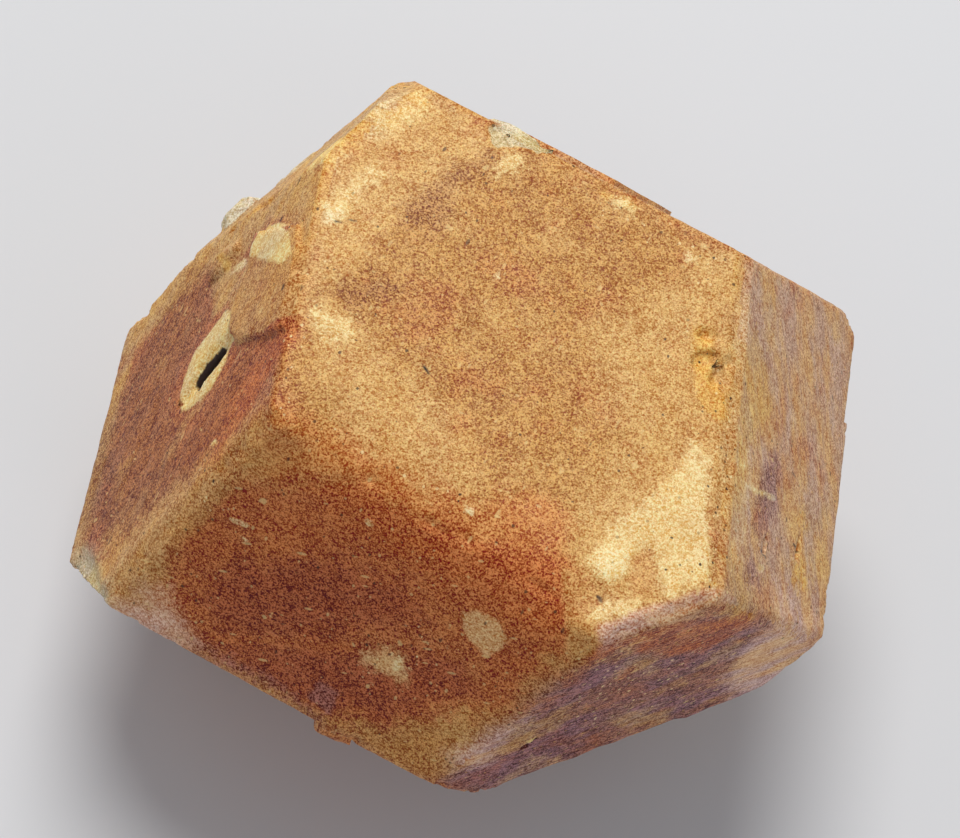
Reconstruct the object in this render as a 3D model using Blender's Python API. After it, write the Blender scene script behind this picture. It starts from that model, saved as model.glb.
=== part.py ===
"""A loose grossular garnet crystal, modelled as one solid.

Metres, +Z up. The crystal rests on one of its twelve large faces, and the
origin is under the middle of its outline, on the surface that it rests on.
The form is a rhombic dodecahedron, {110}, that grew unevenly: each face has
its own distance from the middle. Narrow faces cut the edges, one corner is the
rough scar where the crystal sat on its matrix, and the faces carry growth
layers, small grown-on crystals, pits and an open slit.
"""

import math

import bmesh
import bpy
from mathutils import Euler, Matrix, Vector, noise

MM = 0.001
MERGE_DISTANCE = 1e-6
CUT_PRECISION = 1e-7

# Standing: the face opposite A is the one it rests on. The crystal's c axis
# lies level, at this turn from world +X. The middle is the point that the
# faces' distances are measured from.
C_AXIS_TURN = math.radians(-143.4)
REST_DISTANCE = 21.5
MIDDLE = Vector((0.1, 3.35, REST_DISTANCE)) * MM
BLOCK_SIZE = 160.0 * MM

# Each large face: its index in the crystal's axes, a little off the ideal
# {110} as the real faces are, the long diagonal of its rhomb, and its distance
# from the middle in millimetres.
LARGE_FACES = {
    "A": ((1.05, 0.94, -0.01), (1, -1, 0), 20.3),
    "B": ((0.98, 0.01, 1.02), (1, 0, -1), 25.3),
    "C": ((-0.03, 0.97, 1.03), (0, 1, -1), 22.7),
    "D": ((1.03, -0.97, 0.04), (1, 1, 0), 26.8),
    "E": ((0.98, 0.04, -1.02), (1, 0, 1), 24.7),
    "F": ((-0.01, 1.01, -0.99), (0, 1, 1), 20.6),
    "I": ((0.03, -1.02, 0.98), (0, 1, 1), 24.1),
    "J": ((-1.0, 0.0, 1.0), (1, 0, 1), 28.1),
    "K": ((-1.01, 0.99, 0.01), (1, 1, 0), 20.2),
    "L": ((0.02, -1.01, -0.99), (0, 1, -1), 24.6),
    "M": ((-1.0, 0.0, -1.0), (1, 0, -1), 18.8),
    "N": ((-1.0, -1.0, 0.0), (1, -1, 0), REST_DISTANCE),
}

# Narrow faces that cut the edge between two large faces, and their width.
EDGE_FACES = (
    ("A", "E", 1.6),
    ("B", "C", 1.7),
    ("A", "B", 0.7),
    ("A", "C", 0.4),
    ("A", "D", 1.3),
    ("D", "E", 1.0),
    ("B", "D", 0.5),
    ("A", "F", 0.4),
    ("E", "F", 0.4),
    ("E", "L", 0.6),
    ("D", "L", 1.2),
    ("B", "I", 0.5),
    ("C", "J", 0.5),
    ("F", "K", 1.4),
    ("F", "M", 1.2),
    ("J", "M", 1.5),
    ("K", "M", 1.0),
    ("J", "K", 0.6),
    ("I", "J", 1.2),
    ("L", "M", 1.3),
    ("J", "N", 0.6),
    ("I", "N", 0.5),
    ("K", "N", 0.6),
    ("M", "N", 0.8),
    ("L", "N", 0.5),
)

# The broad {211} face between C and K, and the small ones that blunt corners.
BROAD_FACE = ((-0.70, 2.13, 0.99), 23.9)
CORNER_FACES = (
    ((0.0, 1.0, 0.0), 27.1),
    ((-1.0, 0.1, 0.1), 32.0),
    ((0.1, 0.1, -1.0), 30.6),
)

# A is lower beyond the line between these two places (along, across) on it:
# the surface falls off at this slope, towards the corner that A shares with K.
SHOULDER_START = (-11.9, 4.2)
SHOULDER_END = (-6.9, -12.5)
SHOULDER_SLOPE = math.radians(6.5)

# The scar at the corner that sat on the matrix: a broken surface of lumps with
# terraces where layers of the crystal tore off.
SCAR_NORMAL = (0.0, -1.0, 0.02)
SCAR_DISTANCE = 21.3
SCAR_SPAN = 60.0
SCAR_CELLS = 30
SCAR_LUMP_SIZE = 6.5
SCAR_RELIEF = 1.0
SCAR_FALLOFF = 0.9
SCAR_FINENESS = 2.1
SCAR_OCTAVES = 3
SCAR_TERRACES = 2.0
SCAR_TERRACE_HEIGHT = 0.35

# Layers that stand proud of a face, or are missing from it: the face, the
# outline in millimetres along and across the rhomb, and the layer's height.
PROUD_LAYERS = (
    ("C", ((3.6, -13.6), (1.4, -12.6), (-1.6, -5.6), (-1.5, -2.9), (1.6, -1.0), (5.6, 0.6), (8.0, -6.0)), 0.45),
    ("K", ((-9.0, -7.0), (-2.0, -12.0), (9.0, -5.0), (7.0, 4.0), (-3.0, 6.0)), 0.6),
    ("K", ((-4.0, -5.5), (0.0, -8.5), (6.0, -4.0), (3.0, 1.5)), 1.1),
    ("J", ((-12.0, -3.0), (-3.0, -9.0), (7.0, -4.0), (5.0, 6.0), (-6.0, 8.0)), 0.55),
    ("M", ((-10.0, 2.0), (-1.0, -5.0), (10.0, -2.0), (6.0, 7.0), (-3.0, 9.0)), 0.6),
    ("F", ((-8.0, -3.0), (1.0, -7.0), (9.0, -1.0), (2.0, 5.0)), 0.5),
    ("L", ((-14.0, -2.0), (-5.0, -8.0), (3.0, -4.0), (-2.0, 5.0)), 0.5),
)
MISSING_LAYERS = (
    ("L", ((13.4, -30.0), (34.0, -30.0), (34.0, 30.0), (13.4, 30.0)), 0.95),
    ("J", ((6.2, 20.0), (6.2, 5.5), (11.0, 1.0), (30.0, -6.0), (30.0, 20.0)), 0.4),
    ("I", ((-30.0, -2.0), (-13.0, 4.0), (-9.0, 11.0), (-12.0, 30.0), (-30.0, 30.0)), 0.6),
    ("M", ((9.0, -25.0), (13.0, -6.0), (20.0, 2.0), (30.0, 2.0), (30.0, -25.0)), 0.5),
)
LAYER_SINK = 1.5
LAYER_SETBACK = 0.12
SAME_FACE = 0.999

# Small crystals grown on to the surface: face, place along and across it, the
# height of its middle, its three half sizes, and its turn about the face's normal.
SMALL_CRYSTALS = (
    ("K", 6.2, -11.3, -0.2, (1.9, 1.3, 1.1), 46.0),
    ("K", 1.2, -11.0, -0.3, (1.1, 0.9, 1.0), 20.0),
    ("I", 6.0, -12.9, -0.4, (1.5, 1.2, 1.1), 38.0),
    ("F", 11.0, 5.6, -0.4, (2.5, 1.3, 0.8), -32.0),
    ("C", 2.6, 4.6, -0.4, (2.2, 1.1, 0.9), -25.0),
    ("J", -6.6, 0.6, -0.4, (3.0, 2.3, 1.9), 50.0),
    ("J", -4.0, 3.0, -0.4, (1.7, 1.4, 1.4), 15.0),
    ("M", 3.0, -9.5, -0.4, (3.4, 2.7, 2.3), 15.0),
    ("M", 0.0, -11.0, -0.3, (2.2, 1.9, 1.7), 70.0),
    ("L", 6.0, 2.0, -0.5, (2.8, 2.0, 1.5), 40.0),
    ("K", -12.0, -2.0, -0.4, (2.2, 1.8, 1.3), 10.0),
)
SMALL_CRYSTAL_LEAN = (0.35, 0.6)
SMALL_CRYSTAL_UNEVENNESS = 0.3

# Pits and the slit: the same, with the middle's depth below the face.
PITS = (
    ("C", -4.9, -1.7, 0.1, (4.1, 1.4, 0.45), -26.0),
    ("C", -4.8, -1.6, 0.3, (2.5, 0.5, 2.3), -26.0),
    ("A", 7.0, 11.9, 0.0, (0.8, 0.6, 0.45), 30.0),
    ("A", 8.6, 10.9, 0.0, (1.1, 0.7, 0.5), 80.0),
    ("A", 10.3, 11.3, 0.0, (0.9, 1.1, 0.45), 10.0),
    ("A", 9.6, 13.0, 0.0, (1.2, 0.6, 0.5), 65.0),
    ("K", -10.0, 6.5, 0.1, (1.6, 0.9, 0.9), 35.0),
    ("J", 2.0, -11.5, 0.1, (2.8, 0.8, 1.2), 55.0),
    ("J", 12.0, -3.5, 0.0, (1.3, 1.0, 0.8), 0.0),
    ("M", 12.5, 4.5, 0.1, (2.0, 1.1, 1.0), 120.0),
    ("F", 2.5, 9.5, 0.1, (1.5, 1.0, 0.8), 15.0),
    ("L", -8.0, 9.5, 0.1, (2.4, 0.9, 1.1), 150.0),
    ("I", 1.5, 3.0, 0.1, (2.2, 1.2, 0.9), 100.0),
    ("I", -6.0, -4.0, 0.0, (1.2, 0.9, 0.7), 20.0),
    ("E", 3.9, 10.8, 0.0, (1.0, 0.4, 0.5), 25.0),
    ("E", 10.0, 7.5, 0.0, (0.8, 0.4, 0.45), 25.0),
    ("D", 2.7, 8.0, 0.0, (0.5, 0.9, 0.4), 10.0),
)
PIT_UNEVENNESS = 0.4
PIT_LUMPS = 1.7

BODY_COLOUR = (0.42, 0.20, 0.115, 1.0)
BODY_ROUGHNESS = 0.42


def crystal_to_world():
    """Turns crystal axes into world axes, with face A up and c level."""
    up = Vector((1.0, 1.0, 0.0)).normalized()
    c_axis = Vector((0.0, 0.0, 1.0))
    side = up.cross(c_axis)
    standing = Matrix((c_axis, side, up))
    return Matrix.Rotation(C_AXIS_TURN, 3, "Z") @ standing


TO_WORLD = crystal_to_world()


def clear_scene():
    for old in list(bpy.data.objects):
        bpy.data.objects.remove(old)


def new_collection(name):
    collection = bpy.data.collections.new(name)
    bpy.context.scene.collection.children.link(collection)
    return collection


def add_object(name, bm, collection):
    """An object placed at the crystal's middle, which its mesh is measured from."""
    mesh = bpy.data.meshes.new(name)
    bmesh.ops.remove_doubles(bm, verts=bm.verts, dist=MERGE_DISTANCE)
    bmesh.ops.triangulate(bm, faces=bm.faces)
    bmesh.ops.recalc_face_normals(bm, faces=bm.faces)
    bm.to_mesh(mesh)
    bm.free()
    thing = bpy.data.objects.new(name, mesh)
    thing.location = MIDDLE
    collection.objects.link(thing)
    return thing


def world_direction(index):
    return (TO_WORLD @ Vector(index)).normalized()


def face_plane(name):
    """A large face as its outward normal and its distance from the middle."""
    index, _, distance = LARGE_FACES[name]
    return world_direction(index), distance * MM


def face_frame(name):
    """A face's own axes: along its long diagonal, across it, out of it."""
    normal, distance = face_plane(name)
    diagonal = world_direction(LARGE_FACES[name][1])
    along = (diagonal - normal * diagonal.dot(normal)).normalized()
    across = normal.cross(along)
    frame = Matrix((along, across, normal)).transposed().to_4x4()
    frame.translation = normal * distance
    return frame


def place_on_face(face, along, across, height, half_sizes, turn):
    """Takes a body of unit size, in no unit, to its size and place on a face."""
    to_metres = Matrix.Scale(MM, 4)
    place = Matrix.Translation((along, across, height))
    spin = Matrix.Rotation(math.radians(turn), 4, "Z")
    return face_frame(face) @ to_metres @ place @ spin @ Matrix.Diagonal((*half_sizes, 1.0))


def edge_plane(first, second, width):
    """The plane that cuts the edge of two faces to a strip of this width."""
    normal_a, distance_a = face_plane(first)
    normal_b, distance_b = face_plane(second)
    normal = (normal_a + normal_b).normalized()
    edge = normal_a.cross(normal_b).normalized()
    on_edge = Matrix((normal_a, normal_b, edge)).inverted() @ Vector((distance_a, distance_b, 0.0))
    depth = width * MM / 2.0 * math.tan(normal_a.angle(normal_b) / 2.0)
    return normal, normal.dot(on_edge) - depth


def shoulder_plane():
    """The part of A that falls off towards the corner, as a plane."""
    frame = face_frame("A")
    start = frame @ (Vector((*SHOULDER_START, 0.0)) * MM)
    end = frame @ (Vector((*SHOULDER_END, 0.0)) * MM)
    hinge = (end - start).normalized()
    normal = Matrix.Rotation(SHOULDER_SLOPE, 3, hinge) @ frame.col[2].to_3d()
    return normal, normal.dot(start)


def all_planes():
    planes = [face_plane(name) for name in LARGE_FACES]
    planes += [edge_plane(*edge) for edge in EDGE_FACES]
    for index, distance in (BROAD_FACE,) + CORNER_FACES:
        planes.append((world_direction(index), distance * MM))
    planes.append(shoulder_plane())
    return planes


def cut_to_planes(bm, planes):
    """Takes away what lies beyond each plane in turn, and closes each cut."""
    for normal, distance in planes:
        everything = bm.verts[:] + bm.edges[:] + bm.faces[:]
        cut = bmesh.ops.bisect_plane(
            bm, geom=everything, dist=CUT_PRECISION, plane_co=normal * distance, plane_no=normal, clear_outer=True
        )
        rim = [item for item in cut["geom_cut"] if isinstance(item, bmesh.types.BMEdge)]
        if rim:
            bmesh.ops.holes_fill(bm, edges=rim)


def main_block():
    """A block cut back to every face of the crystal."""
    bm = bmesh.new()
    bmesh.ops.create_cube(bm, size=BLOCK_SIZE)
    cut_to_planes(bm, all_planes())
    return bm


def layer_prism(face, outline, bottom, top):
    """A flat layer on a face, from one height to another, with this outline."""
    bm = bmesh.new()
    corners = [bm.verts.new(Vector((along, across, bottom)) * MM) for along, across in outline]
    base = bm.faces.new(corners)
    raised = bmesh.ops.extrude_face_region(bm, geom=[base])
    lid = [item for item in raised["geom"] if isinstance(item, bmesh.types.BMVert)]
    bmesh.ops.translate(bm, vec=Vector((0.0, 0.0, top - bottom)) * MM, verts=lid)
    bmesh.ops.transform(bm, matrix=face_frame(face), verts=bm.verts)
    return bm


def proud_layer(face, outline, height):
    """A layer that ends just short of the other faces, where it would reach past them."""
    bm = layer_prism(face, outline, -LAYER_SINK, height)
    own_normal, _ = face_plane(face)
    others = [plane for plane in all_planes() if plane[0].dot(own_normal) < SAME_FACE]
    cut_to_planes(bm, [(normal, distance - LAYER_SETBACK * MM) for normal, distance in others])
    return bm


def small_crystal(face, along, across, height, half_sizes, turn):
    """A small crystal of the same form as the large one, leaning and half sunk in a face."""
    bm = bmesh.new()
    bmesh.ops.create_cube(bm, size=4.0)
    lean = Euler((*SMALL_CRYSTAL_LEAN, 0.0)).to_matrix()
    planes = []
    for index, _, _ in LARGE_FACES.values():
        direction = lean @ Vector(index).normalized()
        distance = 1.0 + SMALL_CRYSTAL_UNEVENNESS * noise.noise(direction + Vector((along, across, 0.0)))
        planes.append((direction, distance))
    cut_to_planes(bm, planes)
    bmesh.ops.transform(bm, matrix=place_on_face(face, along, across, height, half_sizes, turn), verts=bm.verts)
    return bm


def pit_body(face, along, across, depth, half_sizes, turn):
    """What is missing at a pit: an uneven ball, flattened to its half sizes."""
    bm = bmesh.new()
    bmesh.ops.create_icosphere(bm, subdivisions=2, radius=1.0)
    for vert in bm.verts:
        lump = noise.noise(vert.co * PIT_LUMPS + Vector((along, across, 0.0)))
        vert.co *= 1.0 + PIT_UNEVENNESS * lump
    bmesh.ops.transform(bm, matrix=place_on_face(face, along, across, -depth, half_sizes, turn), verts=bm.verts)
    return bm


def scar_cutter():
    """What broke away at the scar: a slab whose inner side is hackly."""
    bm = bmesh.new()
    half = SCAR_SPAN / 2.0 * MM
    bmesh.ops.create_grid(bm, x_segments=SCAR_CELLS, y_segments=SCAR_CELLS, size=half)
    sheet = bm.faces[:]
    for vert in bm.verts:
        place = vert.co / (SCAR_LUMP_SIZE * MM)
        lumps = noise.fractal(place, SCAR_FALLOFF, SCAR_FINENESS, SCAR_OCTAVES)
        terrace = round(SCAR_TERRACES * noise.noise(place))
        vert.co.z = MM * (SCAR_RELIEF * lumps + SCAR_TERRACE_HEIGHT * terrace)
    raised = bmesh.ops.extrude_face_region(bm, geom=sheet)
    lid = [item for item in raised["geom"] if isinstance(item, bmesh.types.BMVert)]
    for vert in lid:
        vert.co.z = half
    normal = world_direction(SCAR_NORMAL)
    frame = normal.to_track_quat("Z", "Y").to_matrix().to_4x4()
    frame.translation = normal * SCAR_DISTANCE * MM
    bmesh.ops.transform(bm, matrix=frame, verts=bm.verts)
    return bm


def hide_tool(thing):
    thing.hide_render = True
    thing.display_type = "WIRE"


def add_boolean(target, name, operation, collection):
    boolean = target.modifiers.new(name, "BOOLEAN")
    boolean.solver = "EXACT"
    boolean.use_self = True
    boolean.operation = operation
    boolean.operand_type = "COLLECTION"
    boolean.collection = collection


def crystal_material():
    material = bpy.data.materials.new("pink-brown grossular")
    material.use_nodes = True
    shader = material.node_tree.nodes["Principled BSDF"]
    shader.inputs["Base Color"].default_value = BODY_COLOUR
    shader.inputs["Roughness"].default_value = BODY_ROUGHNESS
    shader.inputs["Metallic"].default_value = 0.0
    return material


def build_crystal():
    specimen = new_collection("grossular specimen")
    growths = new_collection("growth on the faces")
    cutters = new_collection("cutters")

    crystal = add_object("grossular_crystal", main_block(), specimen)
    crystal.data.materials.append(crystal_material())

    for number, (face, outline, height) in enumerate(PROUD_LAYERS):
        hide_tool(add_object(f"proud layer {number}", proud_layer(face, outline, height), growths))
    for number, small in enumerate(SMALL_CRYSTALS):
        hide_tool(add_object(f"small crystal {number}", small_crystal(*small), growths))
    for number, (face, outline, depth) in enumerate(MISSING_LAYERS):
        missing = layer_prism(face, outline, -depth, LAYER_SINK)
        hide_tool(add_object(f"missing layer {number}", missing, cutters))
    for number, pit in enumerate(PITS):
        hide_tool(add_object(f"pit {number}", pit_body(*pit), cutters))
    hide_tool(add_object("scar", scar_cutter(), cutters))

    add_boolean(crystal, "growth", "UNION", growths)
    add_boolean(crystal, "losses", "DIFFERENCE", cutters)


clear_scene()
build_crystal()
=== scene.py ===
"""The looks of a loose grossular garnet crystal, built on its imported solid."""

import math

import bpy
import numpy as np
from mathutils import Matrix, Vector, noise


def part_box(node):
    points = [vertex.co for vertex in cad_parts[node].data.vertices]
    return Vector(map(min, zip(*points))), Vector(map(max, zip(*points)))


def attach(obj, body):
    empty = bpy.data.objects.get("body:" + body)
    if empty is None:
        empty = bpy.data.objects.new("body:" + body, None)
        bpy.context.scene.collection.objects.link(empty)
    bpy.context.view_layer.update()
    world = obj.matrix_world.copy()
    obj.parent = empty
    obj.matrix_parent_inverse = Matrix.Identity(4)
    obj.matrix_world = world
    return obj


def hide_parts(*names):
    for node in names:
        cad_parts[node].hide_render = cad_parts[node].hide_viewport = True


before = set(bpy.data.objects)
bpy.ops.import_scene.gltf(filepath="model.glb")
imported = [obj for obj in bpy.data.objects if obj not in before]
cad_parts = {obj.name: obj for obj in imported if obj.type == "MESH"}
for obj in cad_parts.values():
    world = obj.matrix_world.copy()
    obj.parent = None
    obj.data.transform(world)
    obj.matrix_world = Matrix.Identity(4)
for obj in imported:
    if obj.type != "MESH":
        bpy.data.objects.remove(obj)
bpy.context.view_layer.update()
MM = 0.001


# The crystal's body
# One rhombic dodecahedron of grossular, grown in one piece. Its skin starts as
# a fine mesh of the solid, so that worn edges and low relief can be real shape.
CELL = 0.36
OCTREE_DEPTH = 8
MERGE_WITHIN = 0.001 * MM

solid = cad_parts["grossular_crystal"]
crystal = bpy.data.objects.new("crystal_skin", solid.data.copy())
bpy.context.scene.collection.objects.link(crystal)
bpy.ops.object.select_all(action="DESELECT")
crystal.select_set(True)
bpy.context.view_layer.objects.active = crystal
bpy.ops.object.mode_set(mode="EDIT")
bpy.ops.mesh.select_all(action="SELECT")
bpy.ops.mesh.remove_doubles(threshold=MERGE_WITHIN)
bpy.ops.object.mode_set(mode="OBJECT")
bpy.ops.mesh.customdata_custom_splitnormals_clear()

lowest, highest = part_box("grossular_crystal")
longest_side = max(highest - lowest) / MM
remesh = crystal.modifiers.new("fine skin", "REMESH")
remesh.mode = "SHARP"
remesh.octree_depth = OCTREE_DEPTH
remesh.scale = longest_side / (CELL * 2**OCTREE_DEPTH)
remesh.use_remove_disconnected = False
bpy.ops.object.modifier_apply(modifier=remesh.name)
mesh = crystal.data
vertex_count = len(mesh.vertices)


# The crystal's faces
# Twelve large {110} faces and one broad {211}, each found on the solid by its
# index in the crystal's own axes. A letter names each, and the second index is
# the long diagonal of its rhomb. Places on a face are in millimetres along and
# across that diagonal, from the foot of the line from the crystal's middle.
MIDDLE = np.array((0.1, 3.35, 21.5))
C_AXIS_TURN = math.radians(-143.4)
FACES = {
    "A": ((1.05, 0.94, -0.01), (1, -1, 0)),
    "B": ((0.98, 0.01, 1.02), (1, 0, -1)),
    "C": ((-0.03, 0.97, 1.03), (0, 1, -1)),
    "D": ((1.03, -0.97, 0.04), (1, 1, 0)),
    "E": ((0.98, 0.04, -1.02), (1, 0, 1)),
    "F": ((-0.01, 1.01, -0.99), (0, 1, 1)),
    "I": ((0.03, -1.02, 0.98), (0, 1, 1)),
    "J": ((-1.0, 0.0, 1.0), (1, 0, 1)),
    "K": ((-1.01, 0.99, 0.01), (1, 1, 0)),
    "L": ((0.02, -1.01, -0.99), (0, 1, -1)),
    "M": ((-1.0, 0.0, -1.0), (1, 0, -1)),
    "N": ((-1.0, -1.0, 0.0), (1, -1, 0)),
    "P": ((-0.70, 2.13, 0.99), (1, 0, -1)),
}
NAMES = list(FACES)
SAME_WAY = 0.9998
LEAST_LEAN = 0.2
FAR_AWAY = 99.0

up = Vector((1.0, 1.0, 0.0)).normalized()
c_axis = Vector((0.0, 0.0, 1.0))
to_world = Matrix.Rotation(C_AXIS_TURN, 3, "Z") @ Matrix((c_axis, up.cross(c_axis), up))


def read(values, kind, width):
    """One value or vector for each element, as an array."""
    array = np.empty(len(values) * width)
    values.foreach_get(kind, array)
    return array.reshape(-1, width) if width > 1 else array


def unit(vector):
    return vector / np.linalg.norm(vector)


solid_normals = read(solid.data.polygons, "normal", 3)
solid_centres = read(solid.data.polygons, "center", 3) / MM - MIDDLE
solid_areas = read(solid.data.polygons, "area", 1)
normals, alongs, acrosses, distances = [], [], [], []
for index, diagonal in FACES.values():
    normal = np.array((to_world @ Vector(index)).normalized())
    level = (solid_centres * normal).sum(axis=1)
    facing = np.where(solid_normals @ normal > SAME_WAY, solid_areas, 0.0)
    distances.append(level[facing.argmax()])
    long_way = np.array(to_world @ Vector(diagonal))
    along = unit(long_way - normal * (long_way @ normal))
    normals.append(normal)
    alongs.append(along)
    acrosses.append(np.cross(normal, along))
normals = np.array(normals)

place = read(mesh.vertices, "co", 3) / MM
from_middle = place - MIDDLE
depths = from_middle @ normals.T - np.array(distances)
own_face = depths.argmax(axis=1)
rows = np.arange(vertex_count)
own_depth = depths[rows, own_face]
lean = np.sqrt(1.0 - np.clip(normals @ normals.T, -1.0, 1.0) ** 2)
to_others = -depths / np.maximum(lean[own_face], LEAST_LEAN)
to_others[rows, own_face] = FAR_AWAY
to_edge = np.clip(to_others.min(axis=1), 0.0, FAR_AWAY)
along = (from_middle * np.array(alongs)[own_face]).sum(axis=1)
across = (from_middle * np.array(acrosses)[own_face]).sum(axis=1)


def is_on(*names):
    return np.isin(own_face, [NAMES.index(name) for name in names])


def smooth_step(values, low, high):
    share = np.clip((values - low) / (high - low), 0.0, 1.0)
    return share * share * (3.0 - 2.0 * share)


def lumps(points, size, octaves=3):
    """Noise of about -1 to 1 at each point, with lumps this many millimetres across."""
    return np.array([noise.fractal(Vector(spot), 0.9, 2.0, octaves) for spot in points / size])


# The scar, a broken surface: a little below every face, and within about 3 mm of
# the plane that it broke on.
SCAR_INDEX = (0.0, -1.0, 0.02)
SCAR_DISTANCE = 21.3
scar_normal = np.array((to_world @ Vector(SCAR_INDEX)).normalized())
scar_depth = from_middle @ scar_normal - SCAR_DISTANCE
on_scar = smooth_step(-own_depth, 0.1, 0.5) * smooth_step(-np.abs(scar_depth), -3.2, -2.6)


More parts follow.
